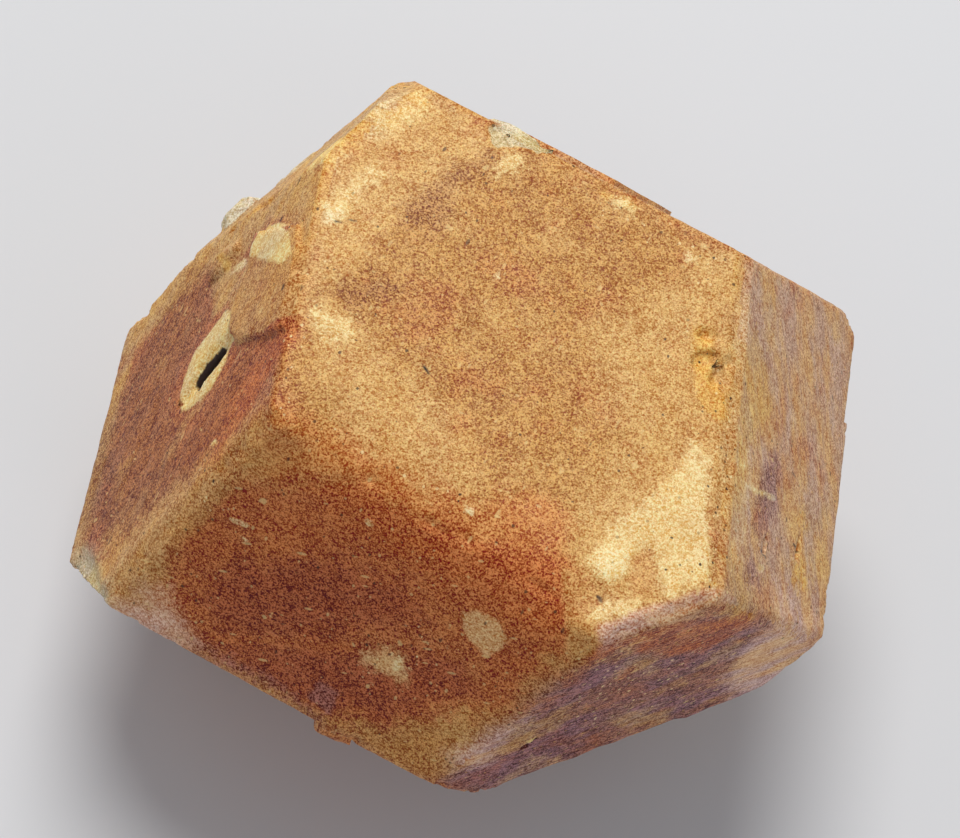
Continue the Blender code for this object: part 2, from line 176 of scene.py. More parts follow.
# Zones of colour
# The garnet took up iron, manganese and calcite unevenly as it grew; the mauve zone is partly that
# and partly a painted bluish reflection. A zone has its outlines, each on one face, with how many
# millimetres its border takes to fade.
# Glassy grains, chipped places and the painted shade in the slit and pits are marked in the same way.
ZONES = {
    "pale": (
        ("A", 0.7, ((-20, 0), (-18, -3), (-16.5, -7), (-13, -13.5), (-7, -12.5), (-6, -12),
                    (-6.5, -10.5), (-8.5, -8), (-9, -6), (-10, -3.5), (-10.5, 0), (-11.5, 3),
                    (-11.5, 5), (-13.5, 5), (-16, 3))),
        ("A", 0.5, ((-1, 13), (0.5, 14.5), (2, 17.5), (5, 15.5), (6.5, 12.5), (4.5, 11.5),
                    (2.5, 12.5), (1.5, 13.5))),
        ("A", 0.6, ((7, 13.5), (9.5, 15), (12.5, 14), (14, 11.5), (11, 11.5), (8, 12.3))),
        ("A", 1.6, ((12, 5), (14, 8), (24, 4.5), (24.5, -3), (20, -4.5), (16.5, -3.5), (13, 1))),
        ("A", 1.5, ((-6, -13.5), (-1, -16), (3, -14), (9, -11), (8.5, -8.5), (2, -10), (-5, -11))),
        ("E", 1.0, ((18, 4), (15, 6), (14, 11), (18, 8))),
        ("A", 2.2, ((3, 4), (3, 12), (7, 13), (14, 11), (15, 4), (9, 2))),
        ("A", 1.8, ((0, -13), (2, -9), (8, -7), (12, -9), (10, -12), (4, -15))),
        ("C", 0.8, ((2.5, 4), (4, 8), (12, 3), (13, -12), (8, -9.5), (7.7, -4), (6.7, 0.5),
                    (3.5, 2.5))),
        ("C", 0.8, ((-1.5, 2), (0, 4.5), (2, 6.5), (3, 4), (3.5, 1), (0, 0))),
        ("E", 1.2, ((8, -5), (9, 0), (11, 2.5), (14, 3), (16, 2), (15, -2), (12, -6))),
        ("E", 0.9, ((1, -2), (3, 0.5), (9, 0), (9, -5), (2, -6))),
        ("P", 0.8, ((30, -4), (30, 9), (-30, 9), (-30, -4))),
        ("I", 1.6, ((-22, 3), (-8, 14), (-4, 12), (-16, -2))),
        ("J", 1.5, ((6, 10), (16, 4), (20, -2), (14, -2), (4, 6))),
        ("K", 1.5, ((4, -8), (12, -10), (16, -4), (9, -2))),
        ("L", 1.5, ((-14, 2), (-6, 8), (-2, 5), (-9, -3))),
        ("M", 1.8, ((-12, 8), (0, 15), (4, 11), (-7, 4))),
        ("N", 2.0, ((-15, -4), (-6, -10), (0, -7), (-9, 1))),
    ),
    "cream": (
        ("A", 0.6, ((13.5, 7.8), (15.2, 7), (15.5, 7.9), (19, 5.9), (22.6, 4.6), (24.4, 3.4),
                    (23.7, 0.6), (21.8, 0.6), (20.4, 1.6), (19.6, 0.8), (20.2, -1), (21.4, -1.8),
                    (21.3, -3.5), (19.5, -3.5), (18.2, -2), (17.8, -0.8), (17, 1.6), (15.7, 5))),
        ("A", 0.5, ((22.8, -5.2), (22.6, -3.9), (23, -1.4), (23.8, -1.3), (23.7, -4.2),
                    (23.5, -5.3))),
        ("A", 0.6, ((-12.7, -9.5), (-13.2, -8.1), (-13.7, -7), (-14.5, -4.8), (-13.3, -4.5),
                    (-12.8, -6.4), (-11.4, -8), (-11.4, -9.7))),
        ("A", 0.5, ((-6, 10), (-4, 11.7), (-3.5, 10.7), (-5, 10))),
        ("A", 0.6, ((-11.3, 5.5), (-10, 5.2), (-10, 3), (-10.8, 3))),
        ("A", 1.0, ((-4.7, -13.4), (-3.7, -11.2), (-2.5, -11.8), (-2.9, -13.8))),
        ("P", 1.2, ((-12, -1), (-3, 1.5), (4, 1), (4, 3), (-5, 4), (-14, 1))),
        ("P", 0.6, ((6.8, -4.4), (8, -2.4), (9.8, -2), (11.2, -4), (10.4, -6), (9.2, -5))),
        ("P", 0.5, ((12.2, -2.4), (12.8, 0), (14.8, 2.2), (15.2, 1), (13.6, -0.8), (13, -2.2))),
        ("J", 0.6, ((-3, 3), (2, 5), (5, 2), (1, 0.5))),
        ("L", 0.7, ((3, -3), (7, -1), (9, -5), (5, -6))),
        ("M", 0.8, ((6, 2), (11, 3), (10, -2), (7, -2))),
    ),
    "grainy": (
        ("A", 0.8, ((-8.5, -10.5), (-5.5, -13), (0.5, -17.5), (1.5, -19), (0, -19), (-6, -15),
                    (-9.5, -12))),
        ("A", 0.6, ((1, -17.6), (8, -12.6), (13, -8.6), (13.5, -9.8), (8, -14), (1, -19))),
        ("A", 0.8, ((20, -3), (24.5, -4.7), (24.8, 4.5), (21, 5), (20, 3), (23.6, 2.5),
                    (23.6, -2.5))),
        ("A", 0.8, ((-6, 9.5), (2, 16.5), (6, 12.5), (14, 12), (14, 10), (6, 11), (1, 13.5),
                    (-5, 8.7))),
        ("C", 0.8, ((-12, -9), (-9, -10), (-12, -13), (-14, -12))),
        ("C", 0.6, ((-3, 9), (-1, 11), (0, 9), (-2, 8))),
        ("E", 0.8, ((8, 0), (12, 0.8), (14, 4), (18, 7.5), (19.5, 6.5), (14, -1), (10, -3))),
        ("B", 1.2, ((0, -6), (5, -4), (7, -6), (4, -9), (0, -9))),
        ("D", 0.5, ((15.6, 6), (16, 2.8), (15.8, 1.3), (12, -1.6), (10.3, -3.8), (9.8, -3.1),
                    (11.5, -0.9), (14.9, 1.7), (15, 2.8), (14.7, 5.8))),
        ("D", 2.0, ((14, 6), (15, 1), (10, -5), (2, -8), (0, 0), (4, 6))),
        ("J", 0.8, ((-10, 6), (0, 10), (1, 8), (-9, 4))),
        ("M", 0.8, ((2, 8), (12, 4), (11, 2.5), (1, 6.5))),
    ),
    "chalk": (
        ("A", 0.5, ((-12.7, -9.4), (-12.3, -8.2), (-11.5, -8.3), (-11.2, -9.4), (-11.8, -9.9))),
        ("A", 0.3, ((19.5, -0.2), (21.3, -1.8), (21.1, -3.3), (20, -3.2), (19, -2))),
        ("A", 0.2, ((12.4, -9.8), (12.9, -9.3), (13.4, -9.5), (13.1, -10))),
        ("A", 0.15, ((-3.4, 0.1), (-3.1, 0.2), (-2.9, -0.1), (-3.2, -0.2))),
        ("A", 0.15, ((-2.8, -0.2), (-2.5, -0.1), (-2.6, -0.6), (-2.9, -0.5))),
        ("A", 0.3, ((0.3, 13.4), (1.0, 14.1), (1.4, 13.5), (0.9, 13.1))),
        ("B", 0.15, ((-7.5, 4.7), (-6.1, 4.2), (-6.3, 3.9), (-7.5, 4.4))),
        ("B", 0.15, ((-7.1, 3.2), (-6.3, 2.9), (-6.5, 2.7), (-7.2, 3))),
        ("B", 0.15, ((3.4, 4.3), (3.9, 4.2), (3.9, 3.8), (3.4, 3.9))),
        ("B", 0.4, ((2.6, -6.8), (3.4, -6.7), (3.3, -7.8), (2.5, -7.6))),
        ("C", 0.3, ((2, 2.5), (3.5, 1.3), (3.4, 0.1), (2.3, 1.2))),
        ("C", 0.2, ((-9, -9.3), (-8.3, -9.3), (-8.1, -10), (-8.6, -10))),
        # This chalk mark on the rim of the slit is a painted highlight.
        ("C", 0.25, ((-6, -3.8), (-4.2, -4.6), (-3.4, -4.3), (-4.4, -4))),
        ("E", 0.2, ((10.9, 1.9), (5.8, 5.6), (6, 5.9), (11.1, 2.2))),
        ("E", 0.2, ((11, 8.5), (11.9, 7.9), (12.1, 8.3), (11.3, 8.8))),
        ("E", 0.2, ((9.9, 0.8), (10.7, 0.2), (10.9, 0.7), (10.1, 1.2))),
        ("E", 0.2, ((13.4, 3.6), (14, 3.1), (14.1, 3.5), (13.6, 3.9))),
        ("D", 0.2, ((2.4, 7.9), (3.8, 7.7), (3.9, 8.2), (2.6, 8.3))),
        ("K", 0.3, ((-3, 4), (-1.5, 5), (-1, 4), (-2.2, 3.2))),
        ("M", 0.3, ((-4, -3), (-2.5, -2), (-2.2, -3.2))),
    ),
    "red": (
        ("A", 1.2, ((15, -12), (19, -9.5), (19.5, -6.5), (21, -6.7), (25, -7.2), (25, -11))),
        ("A", 0.4, ((-15.5, 3.5), (-14, 5), (-13, 4), (-14.5, 2))),
        ("B", 1.3, ((-14.5, 0.5), (-12.5, 3), (-10, 5.3), (-7, 6.8), (-1, 7.3), (4, 7), (8.5, 3.5),
                    (12, 2), (17, 0), (17.5, -5), (15.8, -6), (12.5, -8.5), (10.5, -11), (0, -12.3),
                    (-5, -11.5), (-8, -9.5), (-14.5, -5.3))),
        ("C", 0.6, ((-12, -4), (-9, -3), (-6, -5.5), (-2, -5), (0, -9), (3, -12.5), (1.5, -13.5),
                    (-5.5, -13), (-9, -12.3), (-12, -9))),
        ("D", 0.8, ((16.5, 8), (17.7, 8), (17.5, 3.8), (16.5, -1.9), (12.5, -8), (10.1, -9.3),
                    (8.5, -4.7), (12.8, 0.5), (15.6, 2), (15.4, 5.3))),
        ("E", 0.5, ((16.5, 3), (19.3, 3.8), (20, 1), (18.3, -1), (16.3, 0.5))),
        ("I", 2.5, ((-10, -2), (-2, 5), (8, 1), (10, -5), (0, -9))),
        ("J", 2.5, ((-8, -3), (0, 2), (6, -4), (-2, -8))),
        ("K", 2.5, ((-6, -4), (0, 3), (7, 1), (3, -6))),
        ("M", 2.5, ((-8, -4), (0, 4), (8, 0), (3, -7))),
        ("N", 3.0, ((-3, -6), (6, 3), (12, -2), (5, -9))),
    ),
    "deep": (
        ("B", 1.0, ((-3, 0), (-1.5, 1.7), (0, 0.5), (-1.5, -1.2))),
        ("B", 2.0, ((-12, -1), (-7, 1.5), (0, 1), (5, -1), (6, -4), (-2, -5), (-11, -5))),
        ("B", 0.8, ((6, -6.5), (8.5, -7), (8.5, -10), (6.5, -10.5))),
        ("B", 1.6, ((-13, -5), (-4, -6), (6, -6), (7, -10), (0, -12), (-5, -11), (-9, -9))),
        ("I", 2.0, ((-4, -1), (1, 3), (6, -1), (0, -5))),
        ("M", 2.0, ((-3, -1), (1, 2), (4, -2), (0, -4))),
    ),
    # The mauve zone is partly the garnet's own tint and partly a painted bluish reflection on the
    # faces turned right and down.
    "mauve": (
        ("B", 0.3, ((-5.5, -10), (-4, -8.5), (-2.5, -9.5), (-4, -11.5))),
        ("B", 1.2, ((-17, -4), (-5, -12), (-6, -10), (-14, -5))),
        ("C", 1.2, ((-19, 9), (-15, 9), (-14.5, 6.5), (-17.5, 4), (-19.5, 6.5))),
        ("E", 1.0, ((6, 7), (11, 6.5), (11.5, 5), (9, 3.5), (5, 2.5), (2, 3.5), (4, 5.5))),
        ("E", 1.2, ((12, 9), (18, 8), (18, 6), (13, 6.5))),
        ("D", 1.5, ((0, 5), (12, 7), (14, 3), (9, 0), (2, -1))),
        ("J", 1.5, ((4, -6), (10, -3), (12, -8), (6, -10))),
        ("L", 2.0, ((-8, -4), (0, 1), (4, -5), (-4, -9))),
    ),
    "amber": (
        ("A", 0.5, ((-18.6, 0), (-17.3, -1.8), (-15.7, -5), (-14.3, -7.4), (-13.8, -10),
                    (-12.2, -14.5), (-12.9, -15), (-14.9, -11), (-15.6, -8.3), (-16.9, -5),
                    (-18.6, -1))),
        ("A", 1.2, ((12, -8), (14, -4), (16.5, -3.2), (18.3, -5), (17.5, -7.5), (14, -9))),
        ("A", 1.8, ((0, -20), (6, -14), (12, -11.5), (15, -10), (17, -7), (26, -8), (26, -14),
                    (8, -24))),
        ("B", 1.6, ((-8, 5), (-4, 9), (0, 11), (4, 9.5), (9, 7), (14, 3.5), (18, 1), (18, -5),
                    (0, 0))),
        ("B", 1.2, ((-16, 0), (-14, 0), (-14, -4.5), (-17, -3.5))),
    ),
    "tan": (
        ("B", 1.4, ((-23, -1.5), (-22, 1.5), (-14, 5.5), (-3, 12.5), (-2, 11.5), (-13, 3),
                    (-16, -1.5), (-17, -5))),
        ("C", 0.15, ((-2, -5), (-0.5, -2), (0, 0), (4, 0), (7.5, -6), (7.5, -9), (3, -12.5),
                    (0, -9))),
        ("A", 0.35, ((19.9, 0.6), (20.5, -0.9), (21.7, -1.7), (22.8, -1.6), (22.8, 0.3),
                    (21.6, 0.4), (20.6, 1.2))),
        ("A", 0.3, ((19, -5.5), (20.5, -4), (22.5, -4), (24.5, -4.5), (25.5, -7), (21, -6.5))),
    ),
    "glassy": (
        ("K", 0.3, ((-2, -15), (10, -15), (10, -8), (-2, -8))),
        ("K", 0.3, ((-15, -5), (-9, -5), (-9, 1), (-15, 1))),
        ("F", 0.3, ((7, 2), (15, 2), (15, 9), (7, 9))),
        ("L", 0.3, ((3, -1), (9, -1), (9, 5), (3, 5))),
        ("M", 0.3, ((-3, -14), (3, -14), (3, -8), (-3, -8))),
        ("B", 0.3, ((-7, -11.5), (-1, -14.5), (4, -17), (3, -15), (-2, -13), (-6, -10.8))),
    ),
    "chipped": (
        ("A", 0.2, ((-14.2, 4.3), (-12.3, 4.1), (-11.8, 5.6), (-10.9, 7.1), (-10.1, 8.3),
                    (-11.7, 8.2), (-14, 6))),
        ("C", 1.6, ((-26, 6), (-22.5, 5.5), (-21.5, 1), (-23, -3), (-25, -3))),
    ),
    "brown": (
        ("C", 2.0, ((-21, 8), (-12, 13), (0, 11), (2, 6), (-2, 3), (-9, 3), (-10, -4), (-2, -6),
                    (0, -10), (-12, -10), (-19, -3))),
        ("A", 1.5, ((-10.1, -4.8), (-11.1, -1.8), (-12.8, 3.7), (-11.8, 4), (-10, 0.5),
                    (-8.5, -1.3), (-7.6, -3.1), (-8.7, -4.8))),
        ("A", 1.5, ((-6.4, -11.5), (-4.3, -10.8), (-4.6, -8.2), (-6.2, -8.8))),
        ("K", 3.0, ((-10, -3), (0, 6), (8, 3), (0, -5))),
        ("N", 3.0, ((-8, -8), (4, 4), (10, 0), (0, -10))),
    ),
    "olive": (
        ("C", 0.2, ((4, 0), (6.5, 0), (7.5, -3), (7, -6), (6, -8), (5, -7), (4.5, -4))),
        ("C", 0.25, ((-8.5, -1), (-8, 0.5), (-6.5, 1.5), (-4.5, 2), (-2.5, 1), (-0.5, 0), (0, -2),
                    (-1.5, -3.5), (-3, -4.5), (-5.5, -4.5), (-8, -2.5))),
        ("J", 0.3, ((-12, 1), (-9, 3), (-8, 0), (-10, -1))),
        ("M", 0.3, ((-10, 2), (-7, 4), (-7, 1))),
    ),
    "calcite": (
        ("B", 0.3, ((9, -3.3), (10.2, -2.9), (11.8, -3.7), (12.1, -5.2), (11.1, -6.1), (10.3, -6.5),
                    (8.9, -5.1))),
        ("E", 0.8, ((2.7, -8.9), (1.5, -8.4), (5, -2), (10.8, 3.4), (14.4, 6.4), (16.7, 5.2),
                    (13.4, 2), (8, -3.3))),
        ("B", 0.8, ((0, -6.7), (2, -6), (4, -7), (3.3, -8.5), (1, -8))),
        ("C", 1.0, ((-22, 0), (-18, -4), (-14, -7.5), (-13, -9), (-15, -9), (-19, -6.5),
                    (-23, -3))),
        ("L", 0.5, ((8, 3), (11, 4), (12, 1), (9, 0))),
        ("N", 0.6, ((4, 4), (7, 6), (8, 3))),
    ),
    "ochre": (
        ("A", 0.3, ((6, 11.3), (6.5, 12.2), (7.8, 12.1), (9.4, 11), (11.9, 11), (13.5, 10.3),
                    (12.8, 9.5), (11, 9.2), (9.2, 9.9), (8.3, 10.1))),
        ("A", 0.3, ((-6.5, 9.5), (-5.7, 10.6), (-5.2, 10.4), (-5.6, 9.6))),
        ("C", 0.3, ((2, 3), (2.3, 7), (3, 6), (2.9, 3.5))),
        ("E", 1.3, ((4, 14.5), (6.3, 12), (5, 11.5), (3.8, 13.2))),
        ("E", 1.0, ((0.8, 8.5), (1, 10.8), (2.2, 9.7))),
        ("J", 0.6, ((3, -2), (4, 1), (5, -1))),
        ("L", 0.6, ((-1, -1), (1, 1), (1.5, -1))),
    ),
    "lilac": (
        ("B", 2.0, ((-22, -3), (-15, -1), (-14, -5), (-18, -6))),
        ("A", 0.4, ((24.5, 4.5), (24.2, 1.3), (23.9, -0.7), (23.9, -2.8), (24.1, -5.3), (25, -5.2),
                    (25.1, -1.1), (25.3, 1.6), (25.2, 5.8))),
        ("B", 1.4, ((5, -14.7), (8, -13.2), (11, -12), (6, -17))),
        ("D", 2.0, ((-4, -10), (0, -8), (6, -9), (9, -12), (2, -16), (-5, -14))),
    ),
    # The dark zone is painted shade, in the slit on the left face and in small pits and cracks where
    # the hollows lie in shade.
    "dark": (
        ("C", 0.15, ((-7.1, -1), (-6.1, -0.2), (-4.5, -0.6), (-2.9, -1.9), (-2.6, -3), (-3.8, -3.4),
                    (-5.4, -2.5))),
        ("C", 0.12, ((3.4, -9.5), (3.7, -9.1), (4.1, -9.3), (3.8, -9.7))),
        ("C", 0.12, ((7.1, -1.7), (7.8, -1.7), (7.8, -2), (7.2, -2))),
        ("A", 0.12, ((-7.3, -13.5), (-6.9, -13.5), (-6.9, -13.9), (-7.2, -13.9))),
        ("A", 0.12, ((-11.2, -9.3), (-10.6, -7.8), (-10.4, -7.9), (-11, -9.3))),
        ("A", 0.12, ((1.4, -8.1), (2.5, -7.8), (2.5, -8), (1.5, -8.3))),
        ("A", 0.12, ((21.8, -4.1), (22.3, -3.7), (22.5, -4), (22, -4.4))),
        ("E", 0.12, ((11.1, 7.1), (10.5, 8.4), (10.2, 8.3), (10.9, 7))),
        ("E", 0.12, ((4.9, 10.1), (4, 11.4), (3.7, 11.2), (4.6, 10))),
        ("E", 0.12, ((1.7, 5.8), (1.2, 6.6), (1, 6.4), (1.5, 5.7))),
    ),
}
ZONE_LIMIT = 4.0
OUTLINE_WAVE = 0.7
OUTLINE_WAVE_SIZE = 2.4
ELSEWHERE = 50.0
GLASSY_HEIGHT = 0.1

# How far above or below its face's plane a zone still colours the skin. The painted
# shade in the dark slit reaches deepest.
ZONE_REACH = 2.8
PAINTED_SHADE_REACH = 7.0


def inside(points, outline):
    """How far each point lies inside a closed outline, below nought outside it."""
    corners = np.array(outline, float)
    nearest = np.full(len(points), FAR_AWAY)
    crossings = np.zeros(len(points), int)
    for start, end in zip(corners, np.roll(corners, -1, axis=0)):
        side = end - start
        share = np.clip(((points - start) @ side) / (side @ side), 0.0, 1.0)
        to_side = np.linalg.norm(points - start - share[:, None] * side, axis=1)
        nearest = np.minimum(nearest, to_side)
        spans = (start[1] > points[:, 1]) != (end[1] > points[:, 1])
        rise = side[1] if side[1] else 1.0
        crossing = start[0] + (points[:, 1] - start[1]) * side[0] / rise
        crossings += spans & (points[:, 0] < crossing)
    return np.where(crossings % 2 == 1, nearest, -nearest)


def add_attribute(name, values, kind="FLOAT", domain="POINT"):
    attribute = mesh.attributes.new(name, kind, domain)
    attribute.data.foreach_set("value" if kind == "FLOAT" else "vector", np.ravel(values))


wave_along = lumps(place, OUTLINE_WAVE_SIZE)
wave_across = lumps(place + ELSEWHERE, OUTLINE_WAVE_SIZE)
wave = np.stack((wave_along, wave_across), axis=1) * OUTLINE_WAVE
marks = {}
for zone, outlines in ZONES.items():
    mark = np.full(vertex_count, -ZONE_LIMIT)
    farthest = PAINTED_SHADE_REACH if zone == "dark" else ZONE_REACH
    for name, fade, outline in outlines:
        number = NAMES.index(name)
        near = np.nonzero(np.abs(depths[:, number]) < farthest + ZONE_LIMIT)[0]
        flat = from_middle[near] @ np.stack((alongs[number], acrosses[number]), axis=1)
        depth_left = farthest - np.abs(depths[near, number])
        waved = flat + wave[near] * min(1.0, fade)
        reach = np.minimum(inside(waved, outline) / fade, depth_left)
        if zone == "glassy":
            reach = np.minimum(reach, (own_depth[near] - GLASSY_HEIGHT) / GLASSY_HEIGHT)
        mark[near] = np.maximum(mark[near], np.clip(reach, -ZONE_LIMIT, ZONE_LIMIT))
    marks[zone] = mark
    add_attribute(zone, mark)


# The faces' character
# Each face has its own look: how red, how mauve and how rosy it is, how fibrous, how much
# stained by iron, and the height in millimetres and the turn in degrees of the fine
# ribs of its growth layers. The mauve is partly the garnet's own tint and partly a
# painted bluish reflection on the faces turned right and down.
CHARACTER = {
    "A": (0.00, 0.00, 0.00, 0.12, 0.15, 0.015, 0.0),
    "B": (0.20, 0.00, 0.00, 0.15, 0.10, 0.020, 0.0),
    "C": (0.75, 0.25, 0.00, 0.50, 0.15, 0.030, -5.0),
    "D": (0.10, 1.00, 0.00, 1.00, 0.50, 0.050, 88.0),
    "E": (0.00, 0.15, 0.90, 0.80, 0.50, 0.050, 70.0),
    "F": (0.10, 0.00, 0.30, 0.50, 0.40, 0.030, 35.0),
    "I": (0.50, 0.20, 0.00, 0.50, 0.20, 0.040, -35.0),
    "J": (0.30, 0.50, 0.10, 0.70, 0.40, 0.050, 35.0),
    "K": (0.30, 0.20, 0.30, 0.60, 0.30, 0.050, -35.0),
    "L": (0.20, 0.60, 0.30, 0.80, 0.50, 0.050, 35.0),
    "M": (0.50, 0.15, 0.10, 0.60, 0.30, 0.050, -35.0),
    "N": (0.30, 0.30, 0.20, 0.40, 0.30, 0.000, 0.0),
    "P": (0.05, 0.00, 0.20, 1.00, 0.30, 0.060, -3.0),
}
TRAITS = ("redness", "mauve_and_reflection", "rosiness", "fibrousness", "staining")
EDGE_BLEND = 0.5
FACE_SHIFT = 9.0

traits = np.array([CHARACTER[name] for name in NAMES])
rib_heights = traits[:, -2]
rib_turns = np.radians(traits[:, -1])
share_of_face = np.exp((depths - own_depth[:, None]) / EDGE_BLEND)
share_of_face /= share_of_face.sum(axis=1, keepdims=True)
for number, trait in enumerate(TRAITS):
    add_attribute(trait, share_of_face @ traits[:, number])

loop_vertices = read(mesh.loops, "vertex_index", 1).astype(int)
loop_counts = read(mesh.polygons, "loop_total", 1).astype(int)
polygon_places = read(mesh.polygons, "center", 3) / MM - MIDDLE
polygon_depths = polygon_places @ normals.T - np.array(distances)
face_of_loop = np.repeat(polygon_depths.argmax(axis=1), loop_counts)
turn = rib_turns[face_of_loop]
loop_places = from_middle[loop_vertices]
loop_along = (loop_places * np.array(alongs)[face_of_loop]).sum(axis=1)
loop_across = (loop_places * np.array(acrosses)[face_of_loop]).sum(axis=1)
lay = np.stack(
    (
        loop_along * np.cos(turn) + loop_across * np.sin(turn),
        loop_across * np.cos(turn) - loop_along * np.sin(turn),
        face_of_loop * FACE_SHIFT,
    ),
    axis=1,
)
add_attribute("lay", lay, "FLOAT_VECTOR", "CORNER")


# Worn edges
# Handling and weathering have rounded the edges unevenly. The edge between the top
# and the dark red face is the bluntest, and the rim of the plate on the left face
# is rounded too.
def add_group(name, weights):
    """A vertex group of these weights, from 0 to 1, in steps of a twentieth."""
    group = crystal.vertex_groups.new(name=name)
    steps = np.round(np.clip(weights, 0.0, 1.0) * 20).astype(int)
    for step in range(1, 21):
        group.add(np.nonzero(steps == step)[0].tolist(), step / 20.0, "REPLACE")
    return group.name


def add_modifier(kind, name, **settings):
    modifier = crystal.modifiers.new(name, kind)
    for key, value in settings.items():
        setattr(modifier, key, value)


def apply_modifiers():
    for modifier in list(crystal.modifiers):
        bpy.ops.object.modifier_apply(modifier=modifier.name)


BLUNT_REACH = 4.2
WEAR_ROUNDS = 6

off_rest = smooth_step(place[:, 2], 0.05, 0.9)
top_depth, red_depth = depths[:, 0], depths[:, 1]
nearness = np.clip(1.0 - np.abs(top_depth - red_depth) / BLUNT_REACH, 0.0, 1.0)
cut = np.maximum(np.maximum(top_depth, red_depth) + nearness**2 * BLUNT_REACH / 4.0, 0.0)
cut *= smooth_step(-depths[:, 2:].max(axis=1), 0.8, 4.0)
cut *= 1.0 + 0.25 * lumps(place, 6.0)
skin_places = read(mesh.vertices, "co", 3)
skin_places -= unit(normals[0] + normals[1]) * (cut * MM)[:, None]
mesh.vertices.foreach_set("co", skin_places.ravel())

wear = smooth_step(lumps(place, 4.0), -0.5, 0.4) * smooth_step(-to_edge, -0.8, -0.1)
plate_edge = is_on("C") * smooth_step(-np.abs(marks["tan"]), -4.0, -2.0)
edge_share = np.maximum(np.maximum(wear, nearness), plate_edge) * off_rest
edges = add_group("edges", edge_share)
add_modifier("SMOOTH", "worn edges", factor=0.5, iterations=WEAR_ROUNDS, vertex_group=edges)


# Low relief
# The faces wave a little, as solution has bitten them, the scar is hackly and the
# ochre crust is rough.
def add_relief(name, size, height, where, depth=3):
    """Lumps of this size and height in millimetres, where the vertex group says."""
    texture = bpy.data.textures.new(name, "CLOUDS")
    texture.noise_scale = size * MM
    texture.noise_depth = depth
    add_modifier("DISPLACE", name, texture=texture, strength=height * MM, vertex_group=where)


off_floor = add_group("off the rest face", off_rest)
rough_scar = add_group("scar", on_scar * off_rest)
rough_crust = add_group("crust", smooth_step(marks["ochre"], -0.5, 1.0) * off_rest)
add_relief("waves", 5.0, 0.16, off_floor)
add_relief("bites", 1.1, 0.10, off_floor, depth=2)
add_relief("hackle", 1.8, 1.1, rough_scar, depth=4)
add_relief("crust", 0.7, 0.45, rough_crust, depth=2)
apply_modifiers()


# Growth lines, chips and grains
# Fine ribs run along the edges of the growth layers. Small chips are gone from
# the edges and from the chipped zones, and the calcite grains stand a hair proud
# of the garnet.
RIB_PITCH = 0.75
RIB_LENGTH = 9.0
CHIP_SIZE = 1.5
CHIP_DEPTH = 0.35
CHIPS_ELSEWHERE = 20.0
CALCITE_RISE = 0.07

own_turn = rib_turns[own_face]
rib_along = along * np.cos(own_turn) + across * np.sin(own_turn)
rib_across = across * np.cos(own_turn) - along * np.sin(own_turn)
drawn_along = rib_along * RIB_PITCH / RIB_LENGTH
rib_places = np.stack((drawn_along, rib_across, own_face * FACE_SHIFT), axis=1)
lift = lumps(rib_places, RIB_PITCH) * rib_heights[own_face]
lift *= (1.0 - on_scar) * smooth_step(to_edge, 0.1, 1.0)
edge_chips = smooth_step(lumps(place + CHIPS_ELSEWHERE, CHIP_SIZE), 0.25, 0.7)
lift -= edge_chips * smooth_step(-to_edge, -0.9, -0.1) * CHIP_DEPTH
lift -= smooth_step(marks["chipped"], -0.2, 0.6) * CHIP_DEPTH
for zone in ("chalk", "olive", "cream"):
    lift += smooth_step(marks[zone], -0.3, 0.8) * CALCITE_RISE

skin_normals = read(mesh.vertices, "normal", 3)
skin_places = read(mesh.vertices, "co", 3)
skin_places += skin_normals * (lift * off_rest * MM)[:, None]
skin_places[:, 2] = np.maximum(skin_places[:, 2], 0.0)
mesh.vertices.foreach_set("co", skin_places.ravel())
mesh.update()
bpy.ops.object.shade_smooth()


# The garnet's finish
# Nearly opaque, waxy pink-brown garnet: a granular body in which pale calcite
# flecks, dark specks and clouds of colour lie, under a faintly shining skin.
material = bpy.data.materials.new("waxy_grossular")
material.use_nodes = True
tree = material.node_tree
shader = tree.nodes["Principled BSDF"]


def from_photo(red, green, blue):
    """A colour given as it looks on a screen, 0 to 255, in the renderer's light units."""
    scaled = [value / 255.0 for value in (red, green, blue)]
    return tuple(v / 12.92 if v <= 0.04045 else ((v + 0.055) / 1.055) ** 2.4 for v in scaled) + (1.0,)


def add_node(kind, inputs=(), **settings):
    """A node with its settings, and its inputs linked or set by name or number."""
    node = tree.nodes.new(kind)
    for key, value in settings.items():
        setattr(node, key, value)
    for key, value in dict(inputs).items():
        if isinstance(value, bpy.types.NodeSocket):
            tree.links.new(value, node.inputs[key])
        else:
            node.inputs[key].default_value = value
    return node


def stored(name):
    """A zone's mark or a trait, as it was worked out for each point of the skin."""
    return add_node("ShaderNodeAttribute", attribute_name=name).outputs["Fac"]


def maths(operation, first, second=0.0):
    return add_node("ShaderNodeMath", {0: first, 1: second}, operation=operation).outputs[0]


def times(first, second):
    return maths("MULTIPLY", first, second)


def ramp(value, low, high, start=0.0, end=1.0):
    """The value from low to high, eased to run from start to end."""
    inputs = {"Value": value, "From Min": low, "From Max": high, "To Min": start, "To Max": end}
    eased = add_node("ShaderNodeMapRange", inputs, interpolation_type="SMOOTHSTEP")
    return eased.outputs["Result"]


def mix(share, first, second, blend="MIX"):
    inputs = {0: share, 6: first, 7: second}
    blended = add_node("ShaderNodeMix", inputs, data_type="RGBA", blend_type=blend)
    blended.clamp_result = blend == "LINEAR_LIGHT"
    return blended.outputs[2]


def grains(vector, scale, detail=2.0, roughness=0.6):
    inputs = {"Vector": vector, "Scale": scale, "Detail": detail, "Roughness": roughness}
    return add_node("ShaderNodeTexNoise", inputs).outputs["Fac"]


def places(operation, first, second):
    """The sum, product or multiple of one set of places and another, or a number."""
    key = "Scale" if operation == "SCALE" else 1
    return add_node("ShaderNodeVectorMath", {0: first, key: second}, operation=operation).outputs[0]


